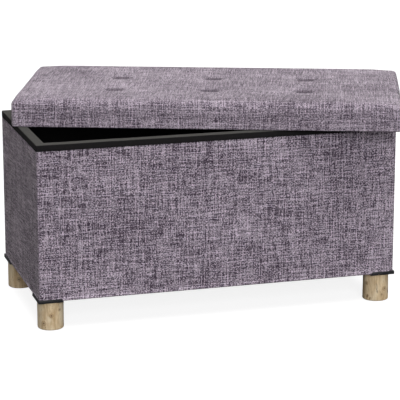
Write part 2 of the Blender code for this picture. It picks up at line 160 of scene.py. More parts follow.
def apply_modifiers(obj):
    """Keep the shape that an object's modifiers give it, and drop the modifiers."""
    graph = bpy.context.evaluated_depsgraph_get()
    mesh = bpy.data.meshes.new_from_object(obj.evaluated_get(graph))
    obj.modifiers.clear()
    obj.data = mesh


def strip_faces(rows, columns, close_rows=False, close_columns=True, start=0):
    """Quads between the rows of a grid of points, which may close either way."""
    faces = []
    for r in range(rows if close_rows else rows - 1):
        for c in range(columns if close_columns else columns - 1):
            r2, c2 = (r + 1) % rows, (c + 1) % columns
            faces.append((start + r * columns + c, start + r * columns + c2,
                          start + r2 * columns + c2, start + r2 * columns + c))
    return faces


def end_caps(rows, columns):
    """Flat faces over the first and the last row of a grid whose rows are closed rings."""
    last = (rows - 1) * columns
    return [tuple(range(columns)), tuple(range(last, last + columns))[::-1]]


def spread(low, high, step, near=()):
    """Values from low to high about a step apart, and some near both ends."""
    count = max(1, round((high - low) / step))
    values = set(round(low + (high - low) * i / count, 7) for i in range(count + 1))
    inner = max(near) if near else 0.0
    values = {v for v in values if low + 1.3 * inner < v < high - 1.3 * inner}
    for distance in (0.0, *near):
        values.update((round(low + distance, 7), round(high - distance, 7)))
    return sorted(values)


def with_lines(values, lines, apart=0.0018):
    """Values with extra lines put in, and those too close to a line left out."""
    kept = [v for v in values if all(abs(v - line) > apart for line in lines)]
    return sorted(kept + [round(line, 7) for line in lines])


def round_off(points, inner, radius):
    """Points moved to a radius from their nearest ones on an inner shape."""
    away = points - inner
    length = np.linalg.norm(away, axis=1, keepdims=True)
    return inner + np.where(length > TINY, away / np.maximum(length, TINY) * radius, 0.0)


class Outline:
    """A rectangle's edge as a closed run of points, to be pulled in and given round corners."""

    def __init__(self, length, width, step, radius, lines=((), ())):
        self.half = np.array((length / 2, width / 2))
        self.radius = radius
        self.near = [radius * share for share in (0.25, 0.5, 0.75, 1.0)]
        self.xs = with_lines(spread(-length / 2, length / 2, step, self.near), lines[0])
        self.ys = with_lines(spread(-width / 2, width / 2, step, self.near), lines[1])
        a, b = self.half
        self.points = np.array([(x, -b) for x in self.xs[:-1]] + [(a, y) for y in self.ys[:-1]]
                               + [(x, b) for x in self.xs[:0:-1]] + [(-a, y) for y in self.ys[:0:-1]])
        counts = [len(self.xs) - 1, len(self.ys) - 1] * 2
        self.sides = [side for side, count in enumerate(counts) for _ in range(count)]

    def ring(self, inset, z, least=0.0005):
        """The outline's points, pulled in by an inset and at one height."""
        half = self.half - inset
        radius = max(self.radius - inset, least)
        scaled = self.points * (half / self.half)
        flat = round_off(scaled, np.clip(scaled, radius - half, half - radius), radius)
        return np.column_stack((flat, np.full(len(flat), z)))

    def rings(self, profile):
        """The outline at each inset and height of a cross-section."""
        return [self.ring(inset, z) for inset, z in profile]

    def run(self):
        """How far along the edge each point is, and the whole way round."""
        steps = np.linalg.norm(np.roll(self.points, -1, axis=0) - self.points, axis=1)
        return np.concatenate(((0.0,), np.cumsum(steps)))


def arc(centre, radius, start, end, steps):
    """Points along an arc of a cross-section, as (inset, height); degrees, 0 is inward and 90 is up."""
    made = []
    for i in range(steps + 1):
        angle = math.radians(start + (end - start) * i / steps)
        made.append((centre[0] + radius * math.cos(angle), centre[1] + radius * math.sin(angle)))
    return made


def walked(profile):
    """How far along a cross-section each of its points is."""
    lengths = [0.0]
    for (inset, z), (next_inset, next_z) in zip(profile, profile[1:]):
        lengths.append(lengths[-1] + math.hypot(next_inset - inset, next_z - z))
    return lengths


def lattice_noise(points, size, seed):
    """Smooth noise from -1 to 1 at points, with features about a size across."""
    shift = Vector((seed * 13.7, seed * 7.3, seed * 3.1))
    return np.array([noise.noise(Vector(p) / size + shift) for p in points])


def set_uv(obj, corner_uv):
    """Store cloth coordinates, in metres, for each face corner."""
    layer = obj.data.uv_layers.new(name="cloth")
    layer.data.foreach_set("uv", np.asarray(corner_uv, np.float32).ravel())


# ---- node helpers ----

class Graph:
    """The nodes of a material or world, and short ways to add to them."""

    def __init__(self, owner, shader):
        owner.use_nodes = True
        self.nodes, self.links = owner.node_tree.nodes, owner.node_tree.links
        self.shader = self.nodes[shader]

    def put(self, socket, value):
        """Set a socket to a number or colour, or link it to another."""
        if isinstance(value, bpy.types.NodeSocket):
            self.links.new(value, socket)
        elif isinstance(value, (tuple, list)) and len(value) == 3 and len(socket.default_value) == 4:
            socket.default_value = (*value, 1.0)
        else:
            socket.default_value = value

    def set(self, **values):
        """Set the shader's inputs by name, with _ for a space."""
        for name, value in values.items():
            self.put(self.shader.inputs[name.replace("_", " ")], value)

    def add(self, kind, settings=(), numbered=(), **named):
        """A node of a kind, with settings, and inputs by their number or name."""
        node = self.nodes.new("ShaderNode" + kind)
        for key, value in dict(settings).items():
            setattr(node, key, value)
        for number, value in numbered:
            self.put(node.inputs[number], value)
        for key, value in named.items():
            self.put(node.inputs[key.replace("_", " ")], value)
        return node

    def math(self, operation, a, b=0.0, c=0.0, clamp=False):
        """A sum on up to three values."""
        return self.add("Math", {"operation": operation, "use_clamp": clamp}, enumerate((a, b, c))).outputs[0]

    def plus(self, a, b):
        """a + b"""
        return self.math("ADD", a, b)

    def minus(self, a, b):
        """a - b"""
        return self.math("SUBTRACT", a, b)

    def times(self, a, b):
        """a * b"""
        return self.math("MULTIPLY", a, b)

    def divided(self, a, b):
        """a / b"""
        return self.math("DIVIDE", a, b)

    def size(self, a, b):
        """The length of a line from its two parts at right angles."""
        return self.math("SQRT", self.plus(self.times(a, a), self.times(b, b)))

    def sway(self, base, value, amount, clamp=False):
        """A base that swings by an amount as a value goes from 0 to 1."""
        return self.math("MULTIPLY_ADD", self.minus(value, 0.5), amount, base, clamp)

    def vector(self, operation, *values):
        """A sum on vectors."""
        return self.add("VectorMath", {"operation": operation}, enumerate(values)).outputs

    def choose(self, factor, a, b):
        """One of two values, or something between them."""
        return self.add("Mix", {"data_type": "FLOAT"}, ((0, factor), (2, a), (3, b))).outputs[0]

    def mix(self, factor, a, b, blend="MIX"):
        """A mix of two colours."""
        settings = {"data_type": "RGBA", "blend_type": blend, "clamp_factor": True}
        return self.add("Mix", settings, ((0, factor), (6, a), (7, b))).outputs[2]

    def shade(self, colour, level):
        """A colour made darker or lighter by a level."""
        return self.mix(1.0, colour, self.join(level, level, level), "MULTIPLY")

    def spot(self, value, low, high, to_low=0.0, to_high=1.0):
        """A smooth step of a value from one range to another."""
        settings = {"interpolation_type": "SMOOTHSTEP"}
        return self.add("MapRange", settings, enumerate((value, low, high, to_low, to_high))).outputs[0]

    def noise(self, vector, scale=1.0, detail=2.0, roughness=0.5, distortion=0.0, flat=False):
        """Smooth noise, as a value."""
        settings = {"noise_dimensions": "2D" if flat else "3D"}
        return self.add("TexNoise", settings, Vector=vector, Scale=scale, Detail=detail,
                        Roughness=roughness, Distortion=distortion).outputs[0]

    def join(self, x, y, z=0.0):
        """A vector from three values."""
        return self.add("CombineXYZ", X=x, Y=y, Z=z).outputs[0]

    def split(self, vector):
        """A vector's three values."""
        return self.add("SeparateXYZ", Vector=vector).outputs

    def place(self):
        """The point's own place on its piece, in metres."""
        return self.add("TexCoord").outputs["Object"]

    def facing_up(self):
        """How far a surface looks up: 1 is up, 0 upright and -1 down."""
        return self.split(self.add("NewGeometry").outputs["Normal"])[2]

    def bump(self, height, distance, strength):
        """Bend the shading by a height."""
        return self.add("Bump", Height=height, Distance=distance, Strength=strength).outputs[0]


class Material(Graph):
    """A material's nodes."""

    def __init__(self, name):
        self.material = bpy.data.materials.new(name)
        super().__init__(self.material, "Principled BSDF")


# ---- materials ----

WEAVE_DARK = (0.058, 0.039, 0.061)
WEAVE_LIGHT = (0.77, 0.67, 0.77)
YARN_TONE = 0.33                    # how light a plain stretch of yarn is between those two
FLECK = (0.0034, 1.70)              # length of what varies along a yarn, and its weight in the tone
STREAK = (0.030, 0.95)
SLUB = (0.055, 0.75)
DASHES = ((0.036, 0.0024, 0.80), (0.0036, 0.0012, 1.60))      # length, width and weight of wider marks
SLUB_MEAN = 0.085                   # about what the slubs add on average, taken off again
LANE = 17.377                       # how far apart in the noise neighbouring yarns are read
WANDER = 0.0014                     # how far yarns stray from straight lines
# colour of the painted shade in the creases across the lid's tufts
PAINTED_FOLD_COLOUR = tuple(0.9 * c for c in WEAVE_DARK)
PAINTED_FOLD_SHADE_RAMP = (0.0158, 0.0025, 0.0, 0.72)      # where a fold's shade starts and is full, and its two levels
BINDING = (0.0125, 0.0115, 0.012)
BINDING_TOP = (0.080, 0.079, 0.073)
LINER = (0.0052, 0.0050, 0.0052)
UNDERSIDE = (0.0085, 0.0082, 0.0085)
WOOD_DARK, WOOD_LIGHT = (0.60, 0.425, 0.225), (0.90, 0.73, 0.47)
PALE_PATCH, BROWN_PATCH = (0.95, 0.82, 0.58), (0.46, 0.275, 0.120)
BAST, BAST_FLECK = (0.185, 0.095, 0.040), (0.27, 0.155, 0.065)
KNOT_RING, KNOT_EYE = (0.33, 0.185, 0.075), (0.145, 0.075, 0.032)
YEAR_LIGHT, YEAR_DARK = (0.62, 0.46, 0.27), (0.44, 0.29, 0.145)


def yarn(g, index, run, seed, contrast, painted_light_lift):
    """Tone of one yarn along its length; and its slubs."""
    lane = g.math("MULTIPLY_ADD", index, LANE, seed)
    fleck = g.noise(g.join(lane, g.divided(run, FLECK[0])), flat=True, detail=1.0)
    streak = g.noise(g.join(lane, g.divided(run, STREAK[0])), flat=True, detail=0.0)
    slub = g.noise(g.join(lane, g.divided(run, SLUB[0])), flat=True, detail=0.0)
    slub = g.spot(slub, 0.56, 0.68)
    # a lift makes a lighter copy of the weave: painted light where the lid uses it
    tone = g.sway(YARN_TONE + painted_light_lift, fleck, FLECK[1] * contrast)
    tone = g.sway(tone, streak, STREAK[1] * contrast)
    tone = g.minus(tone, SLUB_MEAN * contrast)
    return g.math("MULTIPLY_ADD", slub, SLUB[1] * contrast, tone), slub


def painted_crease_shade(g, uv):
    """How much painted shade darkens the lid's cloth in the creases across its tufts, from 0 to 1."""
    apart, row = LID_LENGTH / 4, LID_WIDTH / 6
    x, y, _ = g.split(uv)
    column = g.times(g.math("ROUND", g.divided(x, apart)), apart)
    beside = g.math("ABSOLUTE", g.minus(x, column))
    beyond = g.math("MAXIMUM", g.minus(beside, CREASE / 2), 0.0)
    off = g.minus(g.math("ABSOLUTE", g.minus(y, FOLD_SIDE)), row)
    shade = g.spot(g.size(beyond, off), *PAINTED_FOLD_SHADE_RAMP)
    return g.times(shade, g.math("LESS_THAN", g.math("ABSOLUTE", x), 1.5 * apart))


def weave_material(name, shift=0.0, painted_crease_shading=False, contrast=1.0, painted_light_lift=0.0):
    """Plain weave of slubby purple-grey melange yarn."""
    g = Material(name)
    uv = g.add("UVMap", {"uv_map": "cloth"}).outputs[0]
    wander = g.add("TexNoise", {"noise_dimensions": "2D"}, Vector=uv, Scale=38.0, Detail=1.0).outputs[1]
    centred = g.vector("SUBTRACT", wander, (0.5, 0.5, 0.5))[0]
    u, v, _ = g.split(g.vector("MULTIPLY_ADD", centred, (WANDER, WANDER, 0.0), uv)[0])
    across, along = g.divided(u, THREAD), g.divided(v, THREAD)
    warp, weft = g.math("FLOOR", across), g.math("FLOOR", along)
    over = g.math("FLOORED_MODULO", g.plus(warp, weft), 2.0)
    warp_tone, warp_slub = yarn(g, warp, v, 0.31 + shift, contrast, painted_light_lift)
    weft_tone, weft_slub = yarn(g, weft, u, 5.83 + shift, contrast, painted_light_lift)
    cell = g.add("TexWhiteNoise", {"noise_dimensions": "2D"}, Vector=g.join(warp, weft)).outputs[0]
    tone = g.sway(g.choose(over, weft_tone, warp_tone), cell, 0.25)
    for run, rise in ((u, v), (v, u)):
        for length, width, weight in DASHES:
            dash = g.noise(g.join(g.divided(run, length), g.divided(rise, width)), flat=True, detail=0.0)
            tone = g.sway(tone, dash, contrast * weight)
    cloud = g.noise(uv, 8.0, detail=2.0, flat=True)
    tone = g.math("POWER", g.sway(tone, cloud, 0.48, clamp=True), 1.5)
    hump_u, hump_v = (g.math("SINE", g.times(g.math("FRACT", way), math.pi)) for way in (across, along))
    weft_ridge = g.math("MULTIPLY_ADD", hump_u, 0.5, hump_v)
    warp_ridge = g.math("MULTIPLY_ADD", hump_v, 0.5, hump_u)
    ridge = g.choose(over, weft_ridge, warp_ridge)
    thick = g.math("MULTIPLY_ADD", g.math("MAXIMUM", warp_slub, weft_slub), 0.7, ridge)
    colour = g.mix(tone, WEAVE_DARK, WEAVE_LIGHT)
    # painted shade between the yarns and a painted highlight on their crowns, from the ridge that also bumps
    # them
    colour = g.shade(colour, g.spot(ridge, 0.10, 0.90, 0.45, 1.08))
    # painted shade in the creases across the lid's tufts, on each fold's far side
    if painted_crease_shading:
        colour = g.mix(painted_crease_shade(g, uv), colour, PAINTED_FOLD_COLOUR)
    g.set(Base_Color=colour, Roughness=0.92, Normal=g.bump(thick, 0.00022, 0.8), Specular_IOR_Level=0.25,
          Sheen_Weight=0.12, Sheen_Roughness=0.5)
    return g.material


def felt_material(name, colour, top=None):
    """Non-woven cloth of pressed fibres; a second colour, if given, goes on faces that look up."""
    g = Material(name)
    place = g.place()
    fibre = g.noise(place, 2600.0, detail=3.0, distortion=1.5)
    mottle = g.noise(place, 220.0, detail=3.0)
    if top is not None:
        colour = g.mix(g.spot(g.facing_up(), 0.35, 0.95), colour, top)
    tinted = g.shade(colour, g.sway(g.sway(1.0, mottle, 0.5), fibre, 0.9))
    dent = g.add("TexVoronoi", {"feature": "SMOOTH_F1"}, Vector=place, Scale=420.0).outputs[0]
    height = g.math("MULTIPLY_ADD", fibre, 0.6, dent)
    g.set(Base_Color=tinted, Roughness=0.95, Normal=g.bump(height, 0.0003, 0.5), Specular_IOR_Level=0.2)
    return g.material


def plastic_material(name):
    """Moulded black plastic with a fine spark-eroded grain."""
    g = Material(name)
    place = g.place()
    grain = g.noise(place, 1800.0, detail=2.0)
    scuff = g.spot(g.noise(place, 90.0, detail=4.0), 0.52, 0.70)
    colour = g.mix(g.times(scuff, 0.35), (0.011, 0.011, 0.013), (0.040, 0.039, 0.042))
    rough = g.math("MULTIPLY_ADD", scuff, 0.18, 0.42)
    g.set(Base_Color=colour, Roughness=rough, Normal=g.bump(grain, 0.00008, 0.6))
    return g.material


def board_material(name, light, dark, stretch=(60.0, 230.0, 230.0)):
    """Pressed flakes, or grain, drawn out along the axis of the least stretch."""
    g = Material(name)
    place = g.place()
    drawn = g.add("Mapping", Vector=place, Scale=stretch).outputs[0]
    flakes = g.add("TexVoronoi", {"feature": "F1"}, Vector=drawn, Scale=1.6)
    fine = g.noise(place, 900.0, detail=3.0)
    tone = g.math("MULTIPLY_ADD", g.split(flakes.outputs["Color"])[0], 0.7, g.times(fine, 0.4))
    g.set(Base_Color=g.mix(tone, dark, light), Roughness=0.8, Normal=g.bump(tone, 0.0002, 0.5))
    return g.material


def steel_material(name):
    """Zinc-plated steel, a little cloudy."""
    g = Material(name)
    cloud = g.noise(g.place(), 240.0, detail=3.0)
    colour = g.mix(cloud, (0.42, 0.41, 0.38), (0.66, 0.66, 0.64))
    rough = g.math("MULTIPLY_ADD", cloud, 0.25, 0.25)
    g.set(Base_Color=colour, Metallic=1.0, Roughness=rough, Normal=g.bump(cloud, 0.00005, 0.4))
    return g.material


def twine_material(name):
    """Twisted waxed twine and its fibre washer."""
    g = Material(name)
    x, y, z = g.split(g.place())
    twist = g.math("SINE", g.plus(g.times(z, 2600.0), g.times(g.plus(x, y), 1800.0)))
    colour = g.mix(g.math("MULTIPLY_ADD", twist, 0.5, 0.5), (0.045, 0.032, 0.048), (0.15, 0.12, 0.155))
    g.set(Base_Color=colour, Roughness=0.7, Normal=g.bump(twist, 0.0002, 0.6))
    return g.material


def log_knots(g, colour, place, knots, radius):
    """A log's colour with a dark eye and a ring at each knot of its mesh."""
    for turn, level, size, _ in knots:
        knot = (radius * math.cos(math.radians(turn)), radius * math.sin(math.radians(turn)), level)
        away = g.divided(g.vector("DISTANCE", place, knot)["Value"], size)
        eye = g.spot(away, 0.62, 0.22)
        ring = g.times(g.spot(away, 0.55, 0.75), g.spot(away, 1.25, 0.85))
        colour = g.mix(g.times(ring, 0.55), colour, KNOT_RING)
        colour = g.mix(g.times(eye, 0.85), colour, KNOT_EYE)
    return colour


def end_grain(g, x, y):
    """Year rings round a log's axis."""
    wobble = g.noise(g.join(x, y), 60.0, detail=2.0)
    ring = g.math("SINE", g.math("MULTIPLY_ADD", wobble, 9.0, g.times(g.size(x, y), 3600.0)))
    return g.mix(g.math("MULTIPLY_ADD", ring, 0.5, 0.5), YEAR_LIGHT, YEAR_DARK)


def log_material(name, seed, axis, floor, knots, radius):
    """Debarked log: grain, streaks and flecks of dark bast, knots as in the mesh, and year rings."""
    g = Material(name)
    x, y, z = g.split(g.place())
    x, y, z = g.minus(x, axis[0]), g.minus(y, axis[1]), g.minus(z, floor)
    shifted_x, shifted_y = g.plus(x, seed), g.plus(y, 2 * seed)
    grain = g.noise(g.join(shifted_x, shifted_y, g.times(z, 0.12)), 330.0, detail=4.0, roughness=0.6)
    broad = g.noise(g.join(shifted_x, y, g.times(z, 0.35)), 42.0, detail=3.0, distortion=0.6)
    bast = g.noise(g.join(shifted_x, shifted_y, g.times(z, 0.45)), 95.0, detail=2.0, roughness=0.55)
    streak = g.spot(bast, 0.62, 0.72)
    fleck = g.spot(g.noise(g.join(x, y, g.times(z, 0.5)), 480.0, detail=2.0), 0.62, 0.76)
    colour = g.mix(g.spot(grain, 0.25, 0.75), WOOD_DARK, WOOD_LIGHT)
    colour = g.mix(g.spot(broad, 0.50, 0.66, 0.0, 0.8), colour, PALE_PATCH)
    colour = g.mix(g.spot(broad, 0.50, 0.28, 0.0, 0.7), colour, BROWN_PATCH)
    colour = g.mix(g.times(streak, 0.75), colour, BAST)
    colour = g.mix(g.times(fleck, 0.55), colour, BAST_FLECK)
    colour = log_knots(g, colour, g.join(x, y, z), knots, radius)
    end = g.spot(g.math("ABSOLUTE", g.facing_up()), 0.80, 0.95)
    colour = g.mix(end, colour, end_grain(g, x, y))
    height = g.minus(g.times(grain, 0.6), g.times(streak, 0.8))
    g.set(Base_Color=colour, Roughness=0.60, Normal=g.bump(height, 0.0006, 0.6), Specular_IOR_Level=0.35)
    return g.material


def dress(obj, material):
    """Give a piece, or a CAD node that stays, one finish."""
    obj.data.materials.clear()
    obj.data.materials.append(material)


def finish_piece(obj, material, body, slot, *nodes):
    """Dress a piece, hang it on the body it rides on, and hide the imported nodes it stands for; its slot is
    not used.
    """
    dress(obj, material)
    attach(obj, body)
    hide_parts(*nodes)


# ---- the box's cloth ----


def box_cover_profile():
    """The sleeve's cross-section as its outer and its inner face, each as (inset, height)."""
    top, low = BOX_HIGH.z, BOX_LOW.z
    round_low = 0.0030
    turn_in = BOX_HIGH.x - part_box("leg_insert_front_right")[0].x - 0.004
    outer = [(CLOTH + 0.0001, top - 0.011)]
    outer += arc((CLOTH, top - CLOTH), CLOTH, 0, 180, 6)
    outer += [(0.0, z) for z in spread(low + round_low, top - 2.5 * CLOTH, 0.008)[::-1]]
    outer += arc((round_low, low + round_low), round_low, 180, 270, 4)
    outer += [(0.012, low), (turn_in, low)]
    inner = [(turn_in, low + CLOTH), (0.012, low + CLOTH)]
    inner += arc((round_low, low + round_low), round_low - CLOTH, 270, 180, 4)
    inner += [(CLOTH, z) for z in spread(low + round_low, top - 0.013, 0.024)]
    return outer, inner


def draw_in(points, half):
    """Pull the sleeve's faces in a little and unevenly, between their edges."""
    sway = lattice_noise(points * (1.0, 1.0, 1.6), 0.085, 2.0)
    height_share = np.clip((points[:, 2] - BOX_LOW.z) / (BOX_HIGH.z - BOX_LOW.z), 0, 1)
    away = points[:, :2] / half
    side = np.abs(away).argmax(axis=1)
    off_corner = np.abs(np.take_along_axis(away, 1 - side[:, None], axis=1))[:, 0] < 0.96
    push = -np.abs(sway) * 0.00055 * np.clip(np.sin(np.pi * height_share), 0, 1) * off_corner
    for axis in (0, 1):
        points[:, axis] += np.where(side == axis, np.sign(away[:, axis]) * push, 0.0)


def make_box_cover():
    """The woven sleeve: hemmed at the top, drawn round the lower edge and turned in underneath."""
    outline = Outline(BOX_SIZE.x, BOX_SIZE.y, 0.008, BOX_CORNER)
    outer, inner = box_cover_profile()
    profile = outer + inner
    rows, columns = len(profile), len(outline.points)
    points = np.concatenate(outline.rings(profile))
    draw_in(points, outline.half)
    cover = new_object("box_cover", points + BOX_AXIS, strip_faces(rows, columns, close_rows=True))
    down, run = walked(profile + profile[:1]), outline.run()
    corner_uv = []
    for r in range(rows):
        for c in range(columns):
            u0, u1, v0, v1 = run[c], run[c + 1], -down[r], -down[r + 1]
            corner_uv += [(u0, v0), (u1, v0), (u1, v1), (u0, v1)]
    set_uv(cover, corner_uv)
    edit_mesh(cover, flip_inward)
    finish_piece(cover, weave_material("box_weave"), "box", "woven_cover", "outer_fabric")


def binding_profile():
    """The tape's cross-section: its outer face, its inner face, and where its bends begin."""
    right_low, right_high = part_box("rim_binding_right")
    out = BOX_HIGH.x - right_high.x
    far = out + right_high.x - right_low.x
    tape, bend = 0.0012, 0.0024
    down, tucked = BOX_HIGH.z + 0.0003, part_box("rim_binding_front")[0].z
    outer = [(out, down)]
    outer += arc((out + bend, RIM_Z - bend), bend, 180, 90, 5)
    outer += [(out + (far - out) * share, RIM_Z) for share in (0.3, 0.5, 0.7)]
    outer += arc((far - bend, RIM_Z - bend), bend, 90, 0, 5)
    outer += [(far, tucked)]
    inner = [(far - tape, tucked)]
    inner += arc((far - bend, RIM_Z - bend), bend - tape, 0, 90, 3)
    inner += arc((out + bend, RIM_Z - bend), bend - tape, 90, 180, 3)
    inner += [(out + tape, down)]
    return outer, inner, RIM_Z - bend


def make_binding():
    """Non-woven tape folded over the rim of each wall, mitred at the corners."""
    outer, inner, bend_z = binding_profile()
    outline = Outline(BOX_SIZE.x, BOX_SIZE.y, 0.010, 0.0025)
    rings = outline.rings(outer + inner)
    rows = len(rings)
    felt = felt_material("binding_felt", BINDING, BINDING_TOP)
    for side, wall in enumerate(("front", "right", "back", "left")):
        first = outline.sides.index(side)
        columns = outline.sides.count(side) + 1
        strip = [np.take(ring, range(first, first + columns), axis=0, mode="wrap") for ring in rings]
        points = np.concatenate(strip)
        points[:, 2] += 0.00025 * lattice_noise(points, 0.03, 4.0 + side) * (points[:, 2] > bend_z)
        faces = strip_faces(rows, columns, close_rows=True, close_columns=False)
        start = tuple(r * columns for r in range(rows))
        faces += [start, tuple(i + columns - 1 for i in start)[::-1]]
        tape = new_object(f"rim_tape_{wall}", points + BOX_AXIS, faces)
        face_out(tape, 50)
        finish_piece(tape, felt, "box", "rim_binding", f"rim_binding_{wall}")


def make_liner():
    """Black non-woven lining: four walls and a floor, lying round in the corners."""
    low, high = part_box("inner_liner")
    width, depth, height = (high[axis] - low[axis] for axis in range(3))
    thick, lay, step = 0.0007, 0.005, 0.012
    outline = Outline(width, depth, step, 0.004)
    heights = spread(low.z + lay, high.z - 0.01, step)
    insets = (0.03, 0.06, 0.10, 0.14)
    outer = [(0.0, high.z)] + [(0.0, z) for z in heights[::-1]]
    outer += arc((lay, low.z + lay), lay, 180, 270, 3)[1:]
    outer += [(inset, low.z) for inset in insets]
    inner = [(inset, low.z + thick) for inset in insets[::-1]]
    inner += arc((lay, low.z + lay), lay - thick, 270, 180, 3)
    inner += [(thick, z) for z in heights[1:]] + [(thick, high.z)]
    rings = outline.rings(outer + inner)
    count, rows, split = len(outline.points), len(rings), len(outer) - 1
    faces = [f for f in strip_faces(rows, count) if f[0] // count != split]
    last = (rows - 1) * count
    faces += [(last + c, last + (c + 1) % count, (c + 1) % count, c) for c in range(count)]
    under = tuple(split * count + c for c in range(count))
    faces += [under, tuple(i + count for i in under)[::-1]]
    centre = np.array(((low.x + high.x) / 2, (low.y + high.y) / 2, 0.0))
    liner = new_object("liner", np.concatenate(rings) + centre, faces)
    face_out(liner, 60)
    finish_piece(liner, felt_material("liner_felt", LINER), "box", "inner_lining", "inner_liner")


# ---- the lid ----

def tuft_spots():
    """The tufts' places in the lid's own frame."""
    turned = LID_PLACE.inverted()
    return [turned @ middle(f"lid_tuft_{number}") for number in TUFTS]


def crease_parts(points, spot):
    """How far points are beyond the ends of a tuft's crease, and beside its line."""
    beyond = np.maximum(np.abs(points[:, 0] - spot.x) - CREASE / 2, 0.0)
    return beyond, np.abs(points[:, 1] - spot.y)


def lid_outline():
    """The lid's outline, with extra lines of points through and beside the tufts' creases."""
    spots = tuft_spots()
    xs, ys = sorted({round(p.x, 4) for p in spots}), sorted({round(p.y, 4) for p in spots})
    across = [x + d for x in xs for d in (-CREASE / 2, 0.0, CREASE / 2)]
    along = [y + d for y in ys for d in (-0.0048, -0.0020, 0.0, 0.0020, 0.0048)]
    return Outline(LID_LENGTH, LID_WIDTH, 0.0066, LID_CORNER, (across, along))


def cut_top(outline, heights):
    """The pad's top, as a grid, and sides, as rings: cut sharp, and the same rounded, crowned and bowed."""
    half = outline.half
    top = np.array([(x, y, LID_SIDE) for x in outline.xs for y in outline.ys])
    side = [np.column_stack((outline.points, np.full(len(outline.points), z))) for z in heights]
    sharp = np.concatenate([top] + side)
    inner = sharp.copy()
    inner[:, :2] = np.clip(inner[:, :2], LID_CORNER - half, half - LID_CORNER)
    inner[:, 2] = np.minimum(inner[:, 2], LID_SIDE - LID_CORNER)
    cut = round_off(sharp, inner, LID_CORNER)
    is_top = np.arange(len(cut)) < len(top)
    reach = np.abs(cut[:, :2])
    edge_x, edge_y = (1 - reach / half).T
    rise = np.clip(edge_x * 12, 0, 1) ** 0.6 * np.clip(edge_y * 7, 0, 1) ** 0.6
    cut[:, 2] += is_top * rise * CROWN
    corner_gap = np.hypot(*(half - reach).T)
    bow = 1 - np.exp(-((corner_gap - 0.012).clip(0.0) / 0.030) ** 2)
    cut[:, 2] += EDGE_BOW * bow * np.clip((cut[:, 2] - 0.6 * LID_SIDE) / (0.4 * LID_SIDE), 0, 1)
    return sharp, cut, is_top, rise


def cut_faces(outline, rings):
    """Faces of the top's grid; and those from its border down through the rings."""
    rows, columns, count = len(outline.xs), len(outline.ys), len(outline.points)
    first = rows * columns
    border = [r * columns for r in range(rows - 1)]
    border += [first - columns + c for c in range(columns - 1)]
    border += [r * columns + columns - 1 for r in range(rows - 1, 0, -1)]
    border += list(range(columns - 1, 0, -1))
    seam = [(border[c], border[(c + 1) % count], first + (c + 1) % count, first + c) for c in range(count)]
    return strip_faces(rows, columns, close_columns=False), seam + strip_faces(rings, count, start=first)


def simulate(cover, held, start, frames=20):
    """The points of a cover swollen as cloth under pressure, with some of them held."""
    cover.shape_key_add(name="cut")
    pulled = cover.shape_key_add(name="pulled")
    pulled.value = 1.0
    pulled.data.foreach_set("co", start.astype(np.float32).ravel())
    group = cover.vertex_groups.new(name="held")
    for index in np.flatnonzero(held > 0.001):
        group.add([int(index)], float(held[index]), "REPLACE")
    cloth = cover.modifiers.new("cloth", "CLOTH")
    s = cloth.settings
    s.quality, s.mass, s.air_damping = 6, 0.15, 2.0
    s.tension_stiffness = s.compression_stiffness = 25.0
    s.shear_stiffness, s.bending_stiffness = 8.0, 1.5
    s.use_pressure, s.uniform_pressure_force = True, PRESSURE
    s.vertex_group_mass, s.pin_stiffness = "held", 1.0
    s.rest_shape_key = cover.data.shape_keys.key_blocks["cut"]
    s.effector_weights.gravity = 0.0
    cloth.collision_settings.use_collision = False
    cloth.point_cache.frame_start, cloth.point_cache.frame_end = 1, frames
    scene = bpy.context.scene
    for step in range(1, frames + 1):
        scene.frame_set(step)
    graph = bpy.context.evaluated_depsgraph_get()
    result = np.empty(len(cover.data.vertices) * 3, np.float32)
    cover.evaluated_get(graph).data.vertices.foreach_get("co", result)
    bpy.data.objects.remove(cover)
    scene.frame_set(1)
    return result.reshape(-1, 3).astype(float)


def swell(cut, faces, is_top, rise):
    """The pad's skin: drawn down at the tufts, and swollen between them."""
    gap = np.min([np.hypot(*crease_parts(cut, spot)) for spot in tuft_spots()], axis=0)
    pull = is_top * np.exp(-gap / DIMPLE_REACH)
    start = cut.copy()
    start[:, 2] -= DIMPLE * pull + SLIT * is_top * np.exp(-(gap / SLIT_REACH) ** 2)
    held = np.where(is_top & (gap < 0.0010), 1.0, is_top * (FOAM_HOLD + 0.5 * pull))
    held = np.where(~is_top & (cut[:, 2] < LID_FACE + FIRM), 1.0, held)
    swollen = simulate(new_object("lid_shell", cut, [face[::-1] for face in faces]), held, start)
    move = swollen - cut
    length = np.linalg.norm(move, axis=1, keepdims=True)
    ratio = np.maximum(length, TINY) / np.where(is_top, PUFF, SIDE_PUFF)[:, None]
    sinks = is_top[:, None] & (move[:, 2:] < 0)
    skin = cut + move * np.where(sinks, 1.0, np.tanh(ratio) / ratio)
    drawn = (0.9 * np.exp(-(gap / 0.034) ** 2) * is_top)[:, None]
    skin += (start - skin) * drawn
    for spot in tuft_spots():
        beyond, beside = crease_parts(cut, spot)
        pucker = np.sin(2 * math.pi * (cut[:, 0] - spot.x) / PUCKER_PITCH + 9 * spot.y)
        fade = np.exp(-beyond / 0.004 - np.abs(beside - 0.005) / 0.005) * is_top
        skin[:, 2] += PUCKER * pucker * fade
    return skin


def skirt_profile():
    """The cover's cross-section round the skirt, up its inside, and back inside itself."""
    roll, turn, end = 0.0022, 0.0015, LID_FACE - 0.0006
    inside = CLOTH + 0.0002
    foam_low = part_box("lid_foam")[0].z - LID_LOW.z
    wrap = arc((roll, roll), roll, 200, 270, 3) + [(0.008, 0.0)]
    wrap += arc((SKIRT - turn, turn), turn, 270, 360, 3)
    wrap += [(SKIRT, end), (SKIRT - CLOTH, end), (SKIRT - CLOTH, inside), (CLOTH, inside)]
    wrap += [(inset, foam_low) for inset in (CLOTH, 0.03, 0.08, 0.15)]
    return roll, wrap


